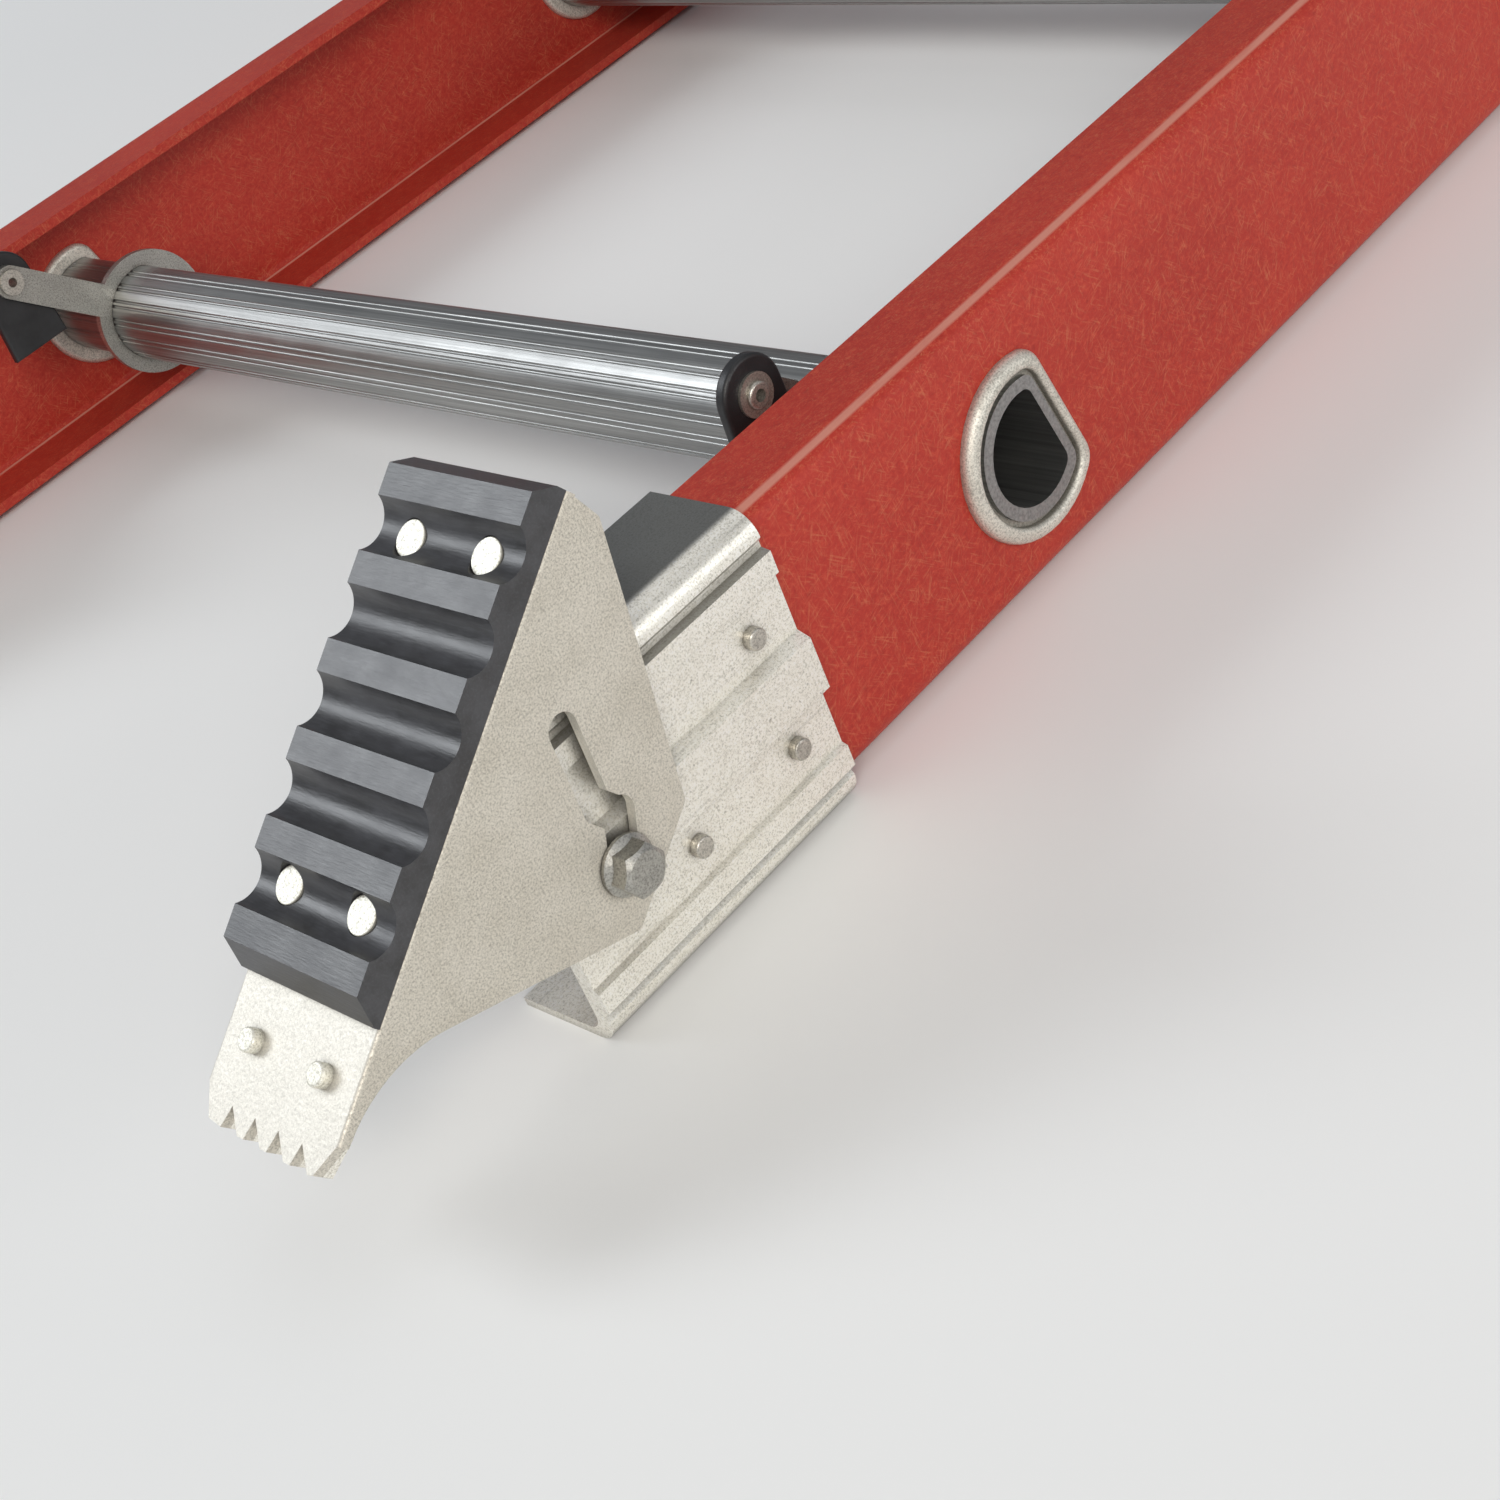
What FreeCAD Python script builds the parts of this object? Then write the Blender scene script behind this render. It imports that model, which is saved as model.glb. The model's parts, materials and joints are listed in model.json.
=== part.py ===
import FreeCAD, Part
import math
import os

# Two-section fibreglass extension ladder, lying on its back.
# +X runs from the foot to the top, +Z is the climber's side, and the right rail is at -Y.
# The ladder is drawn with X measured from the lower end of the foot brackets and is shifted at the
# end, so that the origin is the middle of the footprint, on the surface that the back rests on.
# A right-hand part is drawn with y measured inwards from the outer face of the base rail's web,
# and the left-hand part is its mirror image.

V = FreeCAD.Vector

# ---- driving dimensions, millimetres and degrees ----
BASE_WIDTH = 508.0
RAIL_DEPTH = 88.9
RAIL_FLANGE = 28.5
RAIL_WEB_T = 3.6
RAIL_FLANGE_T = 4.0
RAIL_CORNER_R = 7.0
BASE_TOP = 2438.0
RAIL_START = 32.0

RUNG_PITCH = 304.8
RUNG_COUNT = 8
RUNG_FIRST = 202.5
RUNG_BELOW_CENTRE = 3.0
RUNG_TILT = 15.0
RUNG_R = 19.3
RUNG_FLAT = 11.3
RUNG_CORNER_R = 5.0
RUNG_WALL = 2.0
GROOVE_R = 0.7
GROOVE_DEPTH = 0.55
RIB_HALF = 1.15
RIB_TURNS = (-99, -77, -56, -34, -13, 13, 34, 56, 77, 99)

BRACKET_DEPTH = 94.8
BRACKET_LENGTH = 100.0
BRACKET_TIP = 31.5
BRACKET_WALL = 2.7
BRACKET_GAP = 0.25
BRACKET_CORNER_R = 8.0
BRACKET_WEB_T = 5.0
SIDE_RIB_RISE = 1.8
MID_RIB_RISE = 3.95
BRACKET_RIVET_X = (45.5, 85.5)
BRACKET_RIVET_DZ = 18.3
BRACKET_RIVET_H = 2.9

PIVOT_X = 19.8
BOLT_R = 3.95
SHOE_ANGLE = 35.85
SHOE_OUTER = -12.5
SHOE_WIDTH = 53.0
PLATE_T = 3.0
SHOE_FACE = 57.0
SHOE_TOP = 76.3
SHOE_TIP = -89.0
SLOT_HALF = 5.0
SLOT_NARROW_HALF = 4.4
SLOT_KNEE = (10.8, 7.5)
SLOT_NECK = (10.9, 15.5)
SLOT_END = (25.1, 33.9)

PAD_T = 9.4
PAD_BOTTOM = -52.4
RIDGE_FIRST = -46.5
RIDGE_WIDTH = 8.2
RIDGE_PITCH = 22.2
RIDGE_COUNT = 6
GROOVE_SAG = 4.4
PAD_RIVET_T = (-29.7, 56.5)
PAD_RIVET_DY = 14.2
PAD_RIVET_R = 4.9
PAD_RIVET_H = 1.1
PAD_RIVET_SUNK = 0.4
PAD_SHANK_R = 2.6
SPUR_RIVET_T = -67.2
SPUR_RIVET_DY = 13.8
SPUR_RIVET_H = 3.3
SPUR_CORNER = 10.4
SPUR_END_WIDTH = 42.4
TOOTH_PITCH = 9.4
TOOTH_DEPTH = 5.8
TOOTH_LEAN = 5.1
TOOTH_STEEP = 1.8
SPUR_LENGTH = 37.0

FLY_INSET = 21.0
SECTION_GAP = 2.4
FLY_CLOSED_X = 172.5
FLY_RAISED = RUNG_PITCH
FLY_LENGTH = 2265.0
FLY_RUNG_OFFSET = 30.0
CAP_T = 4.0
RUNNING_FIT = 0.08

# ---- places worked out from them ----
HALF = BASE_WIDTH / 2
CENTRE_Z = BRACKET_DEPTH / 2
RAIL_Z = CENTRE_Z - RAIL_DEPTH / 2
RUNG_Z = CENTRE_Z - RUNG_BELOW_CENTRE
FLY_DZ = RAIL_DEPTH + SECTION_GAP
FLY_X = FLY_CLOSED_X + FLY_RAISED
FLY_TOP = FLY_X + FLY_LENGTH
FLY_RUNG_FIRST = FLY_X + FLY_RUNG_OFFSET
FLY_RUNG_Z = RUNG_Z + FLY_DZ
FLY_Z = RAIL_Z + FLY_DZ
SHOE_MID = SHOE_OUTER + SHOE_WIDTH / 2
FAR_PLATE = SHOE_OUTER + SHOE_WIDTH - PLATE_T
PAD_FACE = SHOE_FACE + PAD_T
SHOE_RAD = math.radians(SHOE_ANGLE)
LOWEST_X = PIVOT_X + SHOE_TIP * math.cos(SHOE_RAD) - SHOE_FACE * math.sin(SHOE_RAD)
HIGHEST_X = FLY_TOP + CAP_T
MIDDLE_X = (LOWEST_X + HIGHEST_X) / 2


# ---- drawing helpers ----
def box(x0, x1, y0, y1, z0, z1):
    return Part.makeBox(x1 - x0, y1 - y0, z1 - z0, V(x0, y0, z0))


def cyl_y(x, z, y0, y1, radius):
    return Part.makeCylinder(radius, y1 - y0, V(x, y0, z), V(0, 1, 0))


def cyl_z(x, y, z0, z1, radius):
    return Part.makeCylinder(radius, z1 - z0, V(x, y, z0), V(0, 0, 1))


def outline_face(steps, place):
    """A face from ("line", p) and ("arc", middle, end) steps, after a start point."""
    first = place(*steps[0])
    here = first
    edges = []
    for step in steps[1:]:
        end = place(*step[-1])
        if step[0] == "line":
            edges.append(Part.makeLine(here, end))
        else:
            edges.append(Part.Arc(here, place(*step[1]), end).toShape())
        here = end
    if here.distanceToPoint(first) > 1e-6:
        edges.append(Part.makeLine(here, first))
    return Part.Face(Part.Wire(edges))


def straight(points):
    return [points[0]] + [("line", p) for p in points[1:]]


def in_section(x):
    """Places (y, z) points on the section at x."""
    return lambda y, z: V(x, y, z)


def in_side(y):
    """Places (x, z) points on the plane at y."""
    return lambda x, z: V(x, y, z)


def fuse(shapes):
    return shapes[0].multiFuse(shapes[1:]).removeSplitter()


def group(shapes):
    return Part.makeCompound([s for shape in shapes for s in shape.Solids])


def to_right(shape):
    moved = shape.copy()
    moved.translate(V(-MIDDLE_X, -HALF, 0))
    return moved


def to_left(shape):
    return to_right(shape).mirror(V(0, 0, 0), V(0, 1, 0))


def both_sides(shapes):
    return group([to_right(s) for s in shapes] + [to_left(s) for s in shapes])


def on_centre(shape):
    moved = shape.copy()
    moved.translate(V(-MIDDLE_X, 0, 0))
    return moved


# ---- rungs ----
def d_steps(radius, flat, corner):
    """A round outline with one flat side, which faces +x before it is tilted."""
    reach = radius - corner
    half = math.sqrt(reach ** 2 - (flat - corner) ** 2)
    turn = math.atan2(half, flat - corner)
    touch = (radius * math.cos(turn), radius * math.sin(turn))
    blend = (flat - corner + corner * math.cos(turn / 2), half + corner * math.sin(turn / 2))
    return [
        (flat, -half),
        ("line", (flat, half)),
        ("arc", blend, touch),
        ("arc", (-radius, 0), (touch[0], -touch[1])),
        ("arc", (blend[0], -blend[1]), (flat, -half)),
    ]


def d_prism(radius, flat, corner, y0, y1, x=0.0, z=0.0):
    face = outline_face(d_steps(radius, flat, corner), in_side(y0))
    solid = face.extrude(V(0, y1 - y0, 0))
    solid.rotate(V(0, 0, 0), V(0, -1, 0), RUNG_TILT)
    solid.translate(V(x, 0, z))
    return solid


def rung_hole(x, z, y0, y1):
    return d_prism(RUNG_R + 0.1, RUNG_FLAT + 0.1, RUNG_CORNER_R, y0, y1, x, z)


def tread_grooves(half_length):
    """Pairs of fine grooves along a rung, each leaving a thin rib between its two grooves."""
    places = []
    for middle in (-7.2, 0.0, 7.2):
        for side in (-RIB_HALF, RIB_HALF):
            places.append((RUNG_FLAT + GROOVE_R - GROOVE_DEPTH, middle + side))
    reach = RUNG_R + GROOVE_R - GROOVE_DEPTH
    for turn in RIB_TURNS:
        for side in (-RIB_HALF / RUNG_R, RIB_HALF / RUNG_R):
            angle = math.radians(180 + turn) + side
            places.append((reach * math.cos(angle), reach * math.sin(angle)))
    return group([cyl_y(x, z, -half_length, half_length, GROOVE_R) for x, z in places])


LIP_R = 21.2
LIP_FLAT = 12.2
LIP_OUT = 2.9
LIP_T = 1.9
LIP_GROOVE = 1.9
COLLAR_R = 28.0
COLLAR_FLAT = 17.9
COLLAR_CORNER = 8.0
COLLAR_OUT = 4.0
COLLAR_CROWN = 3.0
COLLAR_BROW = 1.4
COLLAR_INNER_R = 25.5
COLLAR_INNER_FLAT = 15.0


def rung(half_width):
    """A hollow D-shaped tube, with its ends turned over outside the rails."""
    body = d_prism(RUNG_R, RUNG_FLAT, RUNG_CORNER_R, -half_width, half_width)
    grooves = tread_grooves(half_width - RAIL_WEB_T - 4)
    grooves.rotate(V(0, 0, 0), V(0, -1, 0), RUNG_TILT)
    body = body.cut(grooves)
    end = half_width + LIP_OUT
    lips = []
    for low, high in ((-end, -end + LIP_T), (end - LIP_T, end)):
        lips.append(d_prism(LIP_R, LIP_FLAT, RUNG_CORNER_R, low, high))
    stubs = d_prism(RUNG_R, RUNG_FLAT, RUNG_CORNER_R, -end, end)
    core = stubs.common(box(-50, 50, -end, -half_width, -50, 50))
    other = stubs.common(box(-50, 50, half_width, end, -50, 50))
    body = fuse([body, core, other] + lips)
    bore = d_prism(RUNG_R - RUNG_WALL, RUNG_FLAT - RUNG_WALL, RUNG_CORNER_R - 1.2, -end - 1, end + 1)
    return body.cut(bore)


def is_within(edge, x, z, reach):
    """Whether an edge keeps within a reach of the line along y through x and z."""
    b = edge.BoundBox
    return max(b.XMax - x, x - b.XMin, b.ZMax - z, z - b.ZMin) < reach + 0.5


def collar_pair(x, z, web_out):
    """The ring that the rung's end is turned over, outside the web, and the ring inside it."""
    seat = web_out - LIP_OUT + LIP_T
    outer = d_prism(COLLAR_R, COLLAR_FLAT, COLLAR_CORNER, web_out - COLLAR_OUT, web_out, x, z)
    crown = [e for e in outer.Edges if abs(e.BoundBox.YMax - (web_out - COLLAR_OUT)) < 1e-6]
    outer = outer.makeFillet(COLLAR_CROWN, crown)
    pocket_r = LIP_R + LIP_GROOVE
    pocket = d_prism(pocket_r, LIP_FLAT + LIP_GROOVE, COLLAR_CORNER, web_out - COLLAR_OUT - 1, seat, x, z)
    outer = outer.cut(pocket)
    face_edges = [e for e in outer.Edges if abs(e.BoundBox.YMax - (web_out - COLLAR_OUT)) < 1e-6]
    brow = [e for e in face_edges if is_within(e, x, z, pocket_r)]
    outer = outer.makeFillet(COLLAR_BROW, brow)
    outer = outer.cut(rung_hole(x, z, seat - 1, web_out + 1))
    inside = web_out + RAIL_WEB_T
    inner = d_prism(COLLAR_INNER_R, COLLAR_INNER_FLAT, COLLAR_CORNER, inside, inside + 3, x, z)
    crown = [e for e in inner.Edges if abs(e.BoundBox.YMin - (inside + 3)) < 1e-6]
    inner = inner.makeFillet(2.0, crown).cut(rung_hole(x, z, inside - 1, inside + 4))
    return [outer, inner]


# ---- rails ----
def channel_face(x, y, z):
    """The rail's C section, with its flanges turned inwards (towards +y)."""
    r = RAIL_CORNER_R
    s = r * (1 - math.sqrt(0.5))
    q = r - RAIL_FLANGE_T
    top = z + RAIL_DEPTH
    web = y + RAIL_WEB_T
    tip = y + RAIL_FLANGE
    low_in = z + RAIL_FLANGE_T
    high_in = top - RAIL_FLANGE_T
    k = q * (1 - math.sqrt(0.5))
    steps = [
        (tip, z),
        ("line", (y + r, z)),
        ("arc", (y + s, z + s), (y, z + r)),
        ("line", (y, top - r)),
        ("arc", (y + s, top - s), (y + r, top)),
        ("line", (tip, top)),
        ("line", (tip, high_in)),
        ("line", (web + q, high_in)),
        ("arc", (web + k, high_in - k), (web, high_in - q)),
        ("line", (web, low_in + q)),
        ("arc", (web + k, low_in + k), (web + q, low_in)),
        ("line", (tip, low_in)),
    ]
    return outline_face(steps, in_section(x))


def rail(x0, x1, y, z, rung_x, rung_z):
    body = channel_face(x0, y, z).extrude(V(x1 - x0, 0, 0))
    holes = [rung_hole(x, rung_z, y - 5, y + RAIL_WEB_T + 5) for x in rung_x]
    return body.cut(group(holes))


PLUG_GAP = 3.3
PLUG_WALL = 3.0
PLUG_LENGTH = 14.0
CAP_FOOT = 10.0


def end_cap(x, y, z, foot):
    """A moulded plate over the end of a rail, with a plug inside the channel."""
    tip = y + RAIL_FLANGE
    web = y + RAIL_WEB_T + PLUG_GAP
    low = z + RAIL_FLANGE_T + PLUG_GAP
    high = z + RAIL_DEPTH - RAIL_FLANGE_T - PLUG_GAP
    wall = PLUG_WALL
    plate = box(x, x + CAP_T, y, tip, z, z + RAIL_DEPTH)
    plug = box(x - PLUG_LENGTH, x, web, tip, low, high)
    hollow = box(x - PLUG_LENGTH - 1, x, web + wall, tip - wall, low + wall, high - wall)
    pieces = [plate, plug.cut(hollow)]
    if foot > 0:
        pieces.append(box(x - CAP_FOOT, x + CAP_T, y + RAIL_CORNER_R, tip, z - foot, z))
    return fuse(pieces)


# ---- rivets ----
RIVET_R = 2.4
FLAT_HEAD_R = 4.2
FLAT_HEAD_T = 1.4
ROUND_HEAD_R = 3.1
ROUND_HEAD_RIM = 0.7
TAIL_R = 3.8
TAIL_T = 1.6


# ---- foot bracket ----
def bracket_face():
    """The foot bracket's section: a deeper channel with three raised ribs on its web."""
    outer = -BRACKET_GAP - BRACKET_WEB_T
    inner = -BRACKET_GAP
    r = BRACKET_CORNER_R
    s = r * (1 - math.sqrt(0.5))
    top = BRACKET_DEPTH
    corner_y = outer + r
    side = outer - SIDE_RIB_RISE
    mid = outer - MID_RIB_RISE
    notch = outer + 1.2
    ribs = [
        (CENTRE_Z - 38.0, notch),
        (CENTRE_Z - 36.2, notch),
        (CENTRE_Z - 35.6, side),
        (CENTRE_Z - 28.8, side),
        (CENTRE_Z - 28.0, outer),
        (CENTRE_Z - 10.0, outer),
        (CENTRE_Z - 8.2, mid),
    ]
    rising = [(y, z) for z, y in ribs]
    falling = [(y, 2 * CENTRE_Z - z) for y, z in reversed(rising)]
    steps = [
        (BRACKET_TIP, 0),
        ("line", (corner_y, 0)),
        ("arc", (outer + s, s), (outer, r)),
    ]
    steps += [("line", p) for p in rising + falling]
    steps += [
        ("line", (outer, top - r)),
        ("arc", (outer + s, top - s), (corner_y, top)),
        ("line", (BRACKET_TIP, top)),
        ("line", (BRACKET_TIP, top - BRACKET_WALL)),
    ]
    q = 6.0
    k = q * (1 - math.sqrt(0.5))
    high = top - BRACKET_WALL
    steps += [
        ("line", (inner + q, high)),
        ("arc", (inner + k, high - k), (inner, high - q)),
        ("line", (inner, BRACKET_WALL + q)),
        ("arc", (inner + k, BRACKET_WALL + k), (inner + q, BRACKET_WALL)),
        ("line", (BRACKET_TIP, BRACKET_WALL)),
    ]
    return outline_face(steps, in_section(0))


def bracket_rivet(x, z):
    outer = -BRACKET_GAP - BRACKET_WEB_T
    face = outer - BRACKET_RIVET_H
    head = cyl_y(x, z, face, outer, ROUND_HEAD_R)
    rim = [e for e in head.Edges if abs(e.BoundBox.YMax - face) < 1e-6]
    head = head.makeFillet(ROUND_HEAD_RIM, rim)
    shank = cyl_y(x, z, outer, RAIL_WEB_T, RIVET_R)
    tail = cyl_y(x, z, RAIL_WEB_T, RAIL_WEB_T + TAIL_T, TAIL_R)
    return fuse([head, shank, tail])


def bracket_rivets():
    places = [(x, CENTRE_Z + dz) for x in BRACKET_RIVET_X for dz in (-BRACKET_RIVET_DZ, BRACKET_RIVET_DZ)]
    return [bracket_rivet(x, z) for x, z in places]


# ---- foot: everything is drawn with its pivot at the origin, t along x and n along z ----
def to_foot(shape):
    placed = shape.copy()
    placed.rotate(V(0, 0, 0), V(0, -1, 0), SHOE_ANGLE)
    placed.translate(V(PIVOT_X, 0, CENTRE_Z))
    return placed


def stadium(p, q, radius, y0, y1):
    """A slot cutter from p to q."""
    run = math.hypot(q[0] - p[0], q[1] - p[1])
    nx = -(q[1] - p[1]) / run * radius
    nz = (q[0] - p[0]) / run * radius
    corners = [
        (p[0] + nx, p[1] + nz),
        (q[0] + nx, q[1] + nz),
        (q[0] - nx, q[1] - nz),
        (p[0] - nx, p[1] - nz),
    ]
    middle = outline_face(straight(corners), in_side(y0)).extrude(V(0, y1 - y0, 0))
    return fuse([middle, cyl_y(p[0], p[1], y0, y1, radius), cyl_y(q[0], q[1], y0, y1, radius)])


TOE_FILLET = 38.0
HEEL_LEFT = (-14.1, -12.6)
HEEL_RIGHT = (19.6, -12.6)
SHOULDER = (74.2, 45.0)
TOE_SLOPE = 55.3


def side_plate(y0):
    """One cheek of the foot: a triangle with its point cut off at the pivot."""
    under = SHOE_FACE - PLATE_T
    slope = math.radians(TOE_SLOPE)
    meet = HEEL_LEFT[0] - (under - HEEL_LEFT[1]) / math.tan(slope)
    reach = TOE_FILLET * math.tan(slope / 2)
    start = (meet + reach * math.cos(slope), under - reach * math.sin(slope))
    end = (meet - reach, under)
    centre = (end[0], under - TOE_FILLET)
    half = math.radians(90) - slope / 2
    middle = (centre[0] + TOE_FILLET * math.cos(half), centre[1] + TOE_FILLET * math.sin(half))
    steps = [
        (SHOE_TOP, SHOE_FACE),
        ("line", SHOULDER),
        ("line", HEEL_RIGHT),
        ("line", HEEL_LEFT),
        ("line", start),
        ("arc", middle, end),
        ("line", (end[0], SHOE_FACE)),
    ]
    plate = outline_face(steps, in_side(y0)).extrude(V(0, PLATE_T, 0))
    rounded = [e for e in plate.Edges if is_corner(e, (SHOULDER, HEEL_RIGHT, HEEL_LEFT))]
    plate = plate.makeFillet(2.5, rounded)
    legs = [
        ((0, 0), SLOT_KNEE, SLOT_HALF),
        (SLOT_KNEE, SLOT_NECK, SLOT_NARROW_HALF),
        (SLOT_NECK, SLOT_END, SLOT_NARROW_HALF),
    ]
    slot = fuse([stadium(start, end, half, y0 - 1, y0 + PLATE_T + 1) for start, end, half in legs])
    return plate.cut(slot)


def is_corner(edge, corners):
    """Whether an edge stands on one of the corners of a plate that lies across y."""
    box_ = edge.BoundBox
    if box_.XLength > 1e-6 or box_.ZLength > 1e-6:
        return False
    return any(math.hypot(box_.XMin - x, box_.ZMin - z) < 1e-6 for x, z in corners)


def toothed_plate(y0, y1, t_top, n0, n1):
    """A flat plate along t that ends in a row of leaning spur teeth."""
    shoulder = SHOE_TIP + SPUR_CORNER
    inset = (SHOE_WIDTH - SPUR_END_WIDTH) / 2 + SHOE_OUTER
    mirror = 2 * SHOE_MID
    points = [(t_top, y0), (shoulder, y0), (SHOE_TIP + 0.6, inset)]
    for i in (-1.5, -0.5, 0.5, 1.5):
        valley = SHOE_MID + TOOTH_PITCH * i
        points.append((SHOE_TIP, valley - TOOTH_LEAN))
        points.append((SHOE_TIP + TOOTH_DEPTH, valley))
        points.append((SHOE_TIP, valley + TOOTH_STEEP))
    points += [(SHOE_TIP + 0.6, mirror - inset), (shoulder, y1), (t_top, y1)]
    face = outline_face(straight(points), lambda t, y: V(t, y, n0))
    return face.extrude(V(0, 0, n1 - n0))


def shoe_frame():
    under = SHOE_FACE - PLATE_T
    web = toothed_plate(SHOE_OUTER, SHOE_OUTER + SHOE_WIDTH, SHOE_TOP, under, SHOE_FACE)
    body = fuse([web, side_plate(SHOE_OUTER), side_plate(FAR_PLATE)])
    bends = [e for e in body.Edges if is_bend(e)]
    return body.makeFillet(1.2, bends)


def is_bend(edge):
    """The two long outer edges where the sheet is folded."""
    b = edge.BoundBox
    level = abs(b.ZMin - SHOE_FACE) < 1e-6 and abs(b.ZMax - SHOE_FACE) < 1e-6
    return level and b.YLength < 1e-6 and b.XLength > 60


def tread_pad():
    """The rubber tread: flat ridges with round grooves between them."""
    floor = SHOE_FACE
    steps = [(PAD_BOTTOM, floor), ("line", (PAD_BOTTOM, floor + 1.5))]
    for i in range(RIDGE_COUNT):
        low = RIDGE_FIRST + RIDGE_PITCH * i
        if i > 0:
            middle = (low - (RIDGE_PITCH - RIDGE_WIDTH) / 2, PAD_FACE - GROOVE_SAG)
            steps.append(("arc", middle, (low, PAD_FACE)))
        else:
            steps.append(("line", (low, PAD_FACE)))
        steps.append(("line", (low + RIDGE_WIDTH, PAD_FACE)))
    steps += [("line", (SHOE_TOP, floor + 3.0)), ("line", (SHOE_TOP, floor))]
    pad = outline_face(steps, in_side(SHOE_OUTER)).extrude(V(0, SHOE_WIDTH, 0))
    holes = []
    for t, y in pad_rivet_places():
        holes.append(cyl_z(t, y, PAD_FACE - GROOVE_SAG - PAD_RIVET_SUNK, PAD_FACE + 1, PAD_RIVET_R + 0.15))
        holes.append(cyl_z(t, y, floor - 1, PAD_FACE, PAD_SHANK_R))
    return pad.cut(group(holes))


def pad_rivet_places():
    return [(t, SHOE_MID + dy) for t in PAD_RIVET_T for dy in (-PAD_RIVET_DY, PAD_RIVET_DY)]


def pad_rivets():
    under = SHOE_FACE - PLATE_T
    seat = PAD_FACE - GROOVE_SAG - PAD_RIVET_SUNK
    top = seat + PAD_RIVET_H
    rivets = []
    for t, y in pad_rivet_places():
        head = cyl_z(t, y, seat, top, PAD_RIVET_R)
        rim = [e for e in head.Edges if abs(e.BoundBox.ZMin - top) < 1e-6]
        head = head.makeFillet(0.3, rim)
        shank = cyl_z(t, y, under, seat, PAD_SHANK_R)
        tail = cyl_z(t, y, under - TAIL_T, under, FLAT_HEAD_R)
        rivets.append(fuse([head, shank, tail]))
    return rivets


def spur_rivets():
    back = SHOE_FACE - 2 * PLATE_T
    top = SHOE_FACE + SPUR_RIVET_H
    rivets = []
    for dy in (-SPUR_RIVET_DY, SPUR_RIVET_DY):
        y = SHOE_MID + dy
        head = cyl_z(SPUR_RIVET_T, y, SHOE_FACE, top, ROUND_HEAD_R)
        rim = [e for e in head.Edges if abs(e.BoundBox.ZMin - top) < 1e-6]
        head = head.makeFillet(ROUND_HEAD_RIM, rim)
        shank = cyl_z(SPUR_RIVET_T, y, back, SHOE_FACE, RIVET_R)
        tail = cyl_z(SPUR_RIVET_T, y, back - TAIL_T, back, TAIL_R)
        rivets.append(fuse([head, shank, tail]))
    return rivets


def spur_plate():
    """The hardened spur plate riveted behind the toe of the foot."""
    y0 = SHOE_OUTER + PLATE_T + 0.2
    y1 = FAR_PLATE - 0.2
    under = SHOE_FACE - PLATE_T
    return toothed_plate(y0, y1, SHOE_TIP + SPUR_LENGTH, under - PLATE_T, under)


BOLT_GAP = 0.3
BOLT_HEAD_AF = 12.7
BOLT_HEAD_H = 6.8
BOLT_FACE_R = 5.4
WASHER_R = 8.2
WASHER_T = 1.0
WASHER_SLOPE = 1.4


def hexagon(y0, y1):
    corner = BOLT_HEAD_AF / math.sqrt(3)
    turns = [math.radians(60 * i) for i in range(6)]
    points = [(corner * math.cos(turn), corner * math.sin(turn)) for turn in turns]
    return outline_face(straight(points), in_side(y0)).extrude(V(0, y1 - y0, 0))


def domed(prism, y_face):
    """A hexagon with the corners of its face turned off."""
    inward = 1 if y_face < prism.CenterOfMass.y else -1
    cone = Part.makeCone(BOLT_FACE_R, BOLT_FACE_R + 14, 10, V(0, y_face, 0), V(0, inward, 0))
    return prism.common(cone)


def flange(y_face, outward):
    """The round flange under a hexagon: a thin rim and a sloping shoulder."""
    rim = Part.makeCylinder(WASHER_R, WASHER_T, V(0, y_face, 0), V(0, outward, 0))
    start = y_face + outward * WASHER_T
    slope = Part.makeCone(WASHER_R, BOLT_HEAD_AF / 2, WASHER_SLOPE, V(0, start, 0), V(0, outward, 0))
    return fuse([rim, slope])


def pivot_bolt():
    under_head = SHOE_OUTER - BOLT_GAP
    end = SHOE_OUTER + SHOE_WIDTH + 9.5
    top = under_head - WASHER_T - BOLT_HEAD_H
    head = domed(hexagon(top, under_head - WASHER_T), top)
    shank = cyl_y(0, 0, under_head, end, BOLT_R)
    return fuse([flange(under_head, -1), head, shank])


def pivot_nut():
    low = SHOE_OUTER + SHOE_WIDTH + BOLT_GAP
    high = low + WASHER_T + BOLT_HEAD_H
    body = domed(hexagon(low + WASHER_T, high), high)
    return fuse([flange(low, 1), body]).cut(cyl_y(0, 0, low - 1, high + 1, BOLT_R))


def spacer():
    """The tube on the pivot bolt that keeps the two cheeks apart."""
    y0 = -BRACKET_GAP + 0.4
    y1 = FAR_PLATE - 0.3
    return cyl_y(0, 0, y0, y1, 6.6).cut(cyl_y(0, 0, y0 - 1, y1 + 1, BOLT_R + RUNNING_FIT))


# ---- fly stop near the bottom rung ----
STOP_X = 154.3
STOP_Z = 87.4
STOP_R = 11.6
STOP_Y = 45.0
STOP_T = 4.2
STOP_FOOT_Z = 58.0
STRAP_T = 3.0
STRAP_R = 6.5
STRAP_RING_R = 25.0


def stop_bumper():
    """A round-nosed plate that meets the lower end of the fly."""
    steps = [
        (STOP_X - STOP_R - 1.2, STOP_FOOT_Z),
        ("line", (STOP_X - STOP_R, STOP_Z)),
        ("arc", (STOP_X, STOP_Z + STOP_R), (STOP_X + STOP_R, STOP_Z)),
        ("line", (STOP_X + STOP_R + 1.2, STOP_FOOT_Z)),
    ]
    block = outline_face(steps, in_side(STOP_Y)).extrude(V(0, STOP_T, 0))
    rims = [e for e in block.Edges if e.BoundBox.YLength < 1e-6]
    block = block.makeFillet(1.3, rims)
    return block.cut(cyl_y(STOP_X, STOP_Z, STOP_Y - 1, STOP_Y + STOP_T + 1, 3.4))


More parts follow.
